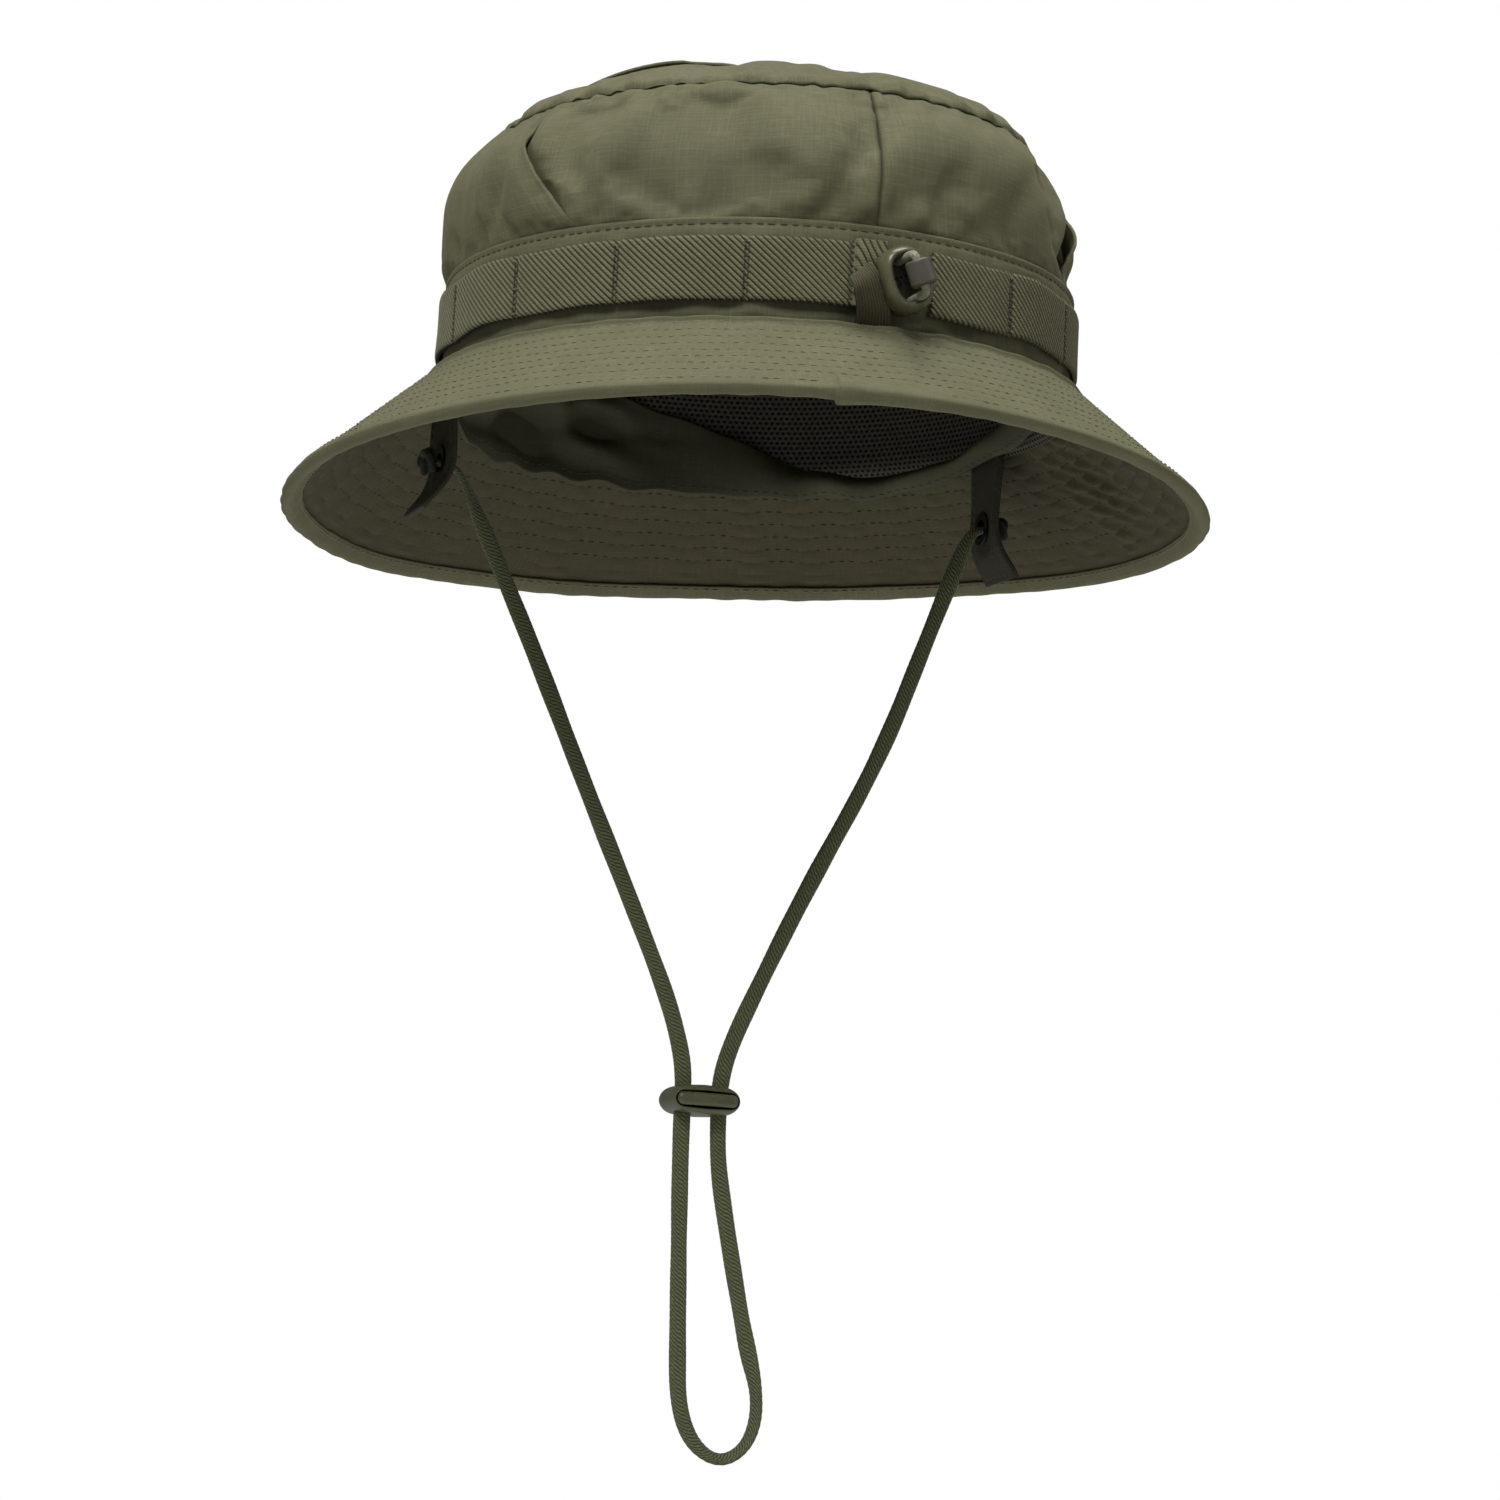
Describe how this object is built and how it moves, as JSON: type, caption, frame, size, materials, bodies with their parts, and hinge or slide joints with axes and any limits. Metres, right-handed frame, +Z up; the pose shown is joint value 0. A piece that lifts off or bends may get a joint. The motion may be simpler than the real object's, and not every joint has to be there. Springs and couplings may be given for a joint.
{
  "type": "boonie hat",
  "caption": "Soft oval boonie hat with a drooping stitched brim, looped elastic band, rear shock cord lock and a chin cord with sliding lock.",
  "frame": {"origin": "centre of the head opening, in the plane of the seam between brim and crown", "axes": "+Z up through the crown, -Y to the front of the hat, +X to the wearer's left"},
  "size_m": [0.267, 0.2988, 0.402],
  "materials": {
    "ripstop": "olive ripstop cotton blend, matt",
    "ripstop_shade": "the same ripstop on the brim's underside, matt",
    "mesh_lining": "dark open mesh, matt",
    "sweatband_cloth": "soft olive cloth, matt",
    "elastic_webbing": "twill woven elastic, matt",
    "thread": "polyester thread",
    "interlining": "woven stiffener",
    "binding_tape": "folded cotton tape, matt",
    "tab_cloth": "doubled olive cloth, matt",
    "eyelet_metal": "black enamelled brass",
    "braided_cord": "flat braided polyester cord",
    "lock_plastic": "moulded olive plastic, satin",
    "spring_steel": "spring wire",
    "clamp_plastic": "moulded grey brown plastic, satin",
    "shock_cord": "braided elastic cord",
    "grosgrain": "ribbed tape"
  },
  "bodies": {
    "hat": {"crown_tip": "ripstop", "crown_front_panel": "ripstop", "crown_back_panel_left": "ripstop", "crown_back_panel_right": "ripstop", "vent_flap_left": "ripstop", "vent_flap_right": "ripstop", "crown_lining": "mesh_lining", "tip_lining": "mesh_lining", "tip_pocket": "ripstop", "sweatband": "sweatband_cloth", "crown_base_band": "ripstop", "elastic_band": "elastic_webbing", "band_bartacks": "thread", "brim_top": "ripstop", "brim_interlining": "interlining", "brim_underside": "ripstop_shade", "brim_binding": "binding_tape", "chin_tab_left": "tab_cloth", "chin_tab_right": "tab_cloth", "chin_eyelet_left": "eyelet_metal", "chin_eyelet_right": "eyelet_metal", "rear_lock_body": "lock_plastic", "rear_lock_spring": "spring_steel", "drawcord_ring": "shock_cord", "lock_tab": "grosgrain"},
    "rear_plunger": {"rear_lock_plunger": "lock_plastic"},
    "rear_pull": {"drawcord_clamp": "clamp_plastic", "drawcord_loop": "shock_cord"},
    "chin_cord": {"cord_knot_left": "braided_cord", "cord_knot_right": "braided_cord", "chin_cord_left": "braided_cord", "chin_cord_right": "braided_cord", "chin_cord_loop": "braided_cord"},
    "chin_lock": {"chin_lock_body": "lock_plastic", "chin_lock_spring": "spring_steel"},
    "chin_plunger": {"chin_lock_plunger": "lock_plastic"}
  },
  "joints": [
    {"name": "chin_cord_swing", "type": "hinge", "parent": "hat", "child": "chin_cord", "pos_m": [0, -0.025, -0.0256], "axis": [1, 0, 0], "range_deg": [-70, 70]},
    {"name": "chin_lock_slide", "type": "slide", "parent": "chin_cord", "child": "chin_lock", "axis": [0, 0, 1], "range_m": [-0.055, 0.085], "deforming": ["chin_cord_left", "chin_cord_right", "chin_cord_loop"]},
    {"name": "chin_lock_press", "type": "slide", "parent": "chin_lock", "child": "chin_plunger", "axis": [0, -1, 0], "range_m": [0, 0.0022], "stiffness_N_per_m": 600, "springref_m": -0.002, "deforming": ["chin_lock_spring"]},
    {"name": "rear_lock_press", "type": "slide", "parent": "hat", "child": "rear_plunger", "axis": [0.9272, 0, -0.3746], "range_m": [0, 0.0022], "stiffness_N_per_m": 600, "springref_m": -0.002, "deforming": ["rear_lock_spring"]},
    {"name": "drawcord_pull", "type": "slide", "parent": "hat", "child": "rear_pull", "axis": [0, 1, 0], "range_m": [0, 0.045], "deforming": ["drawcord_loop"]}
  ]
}
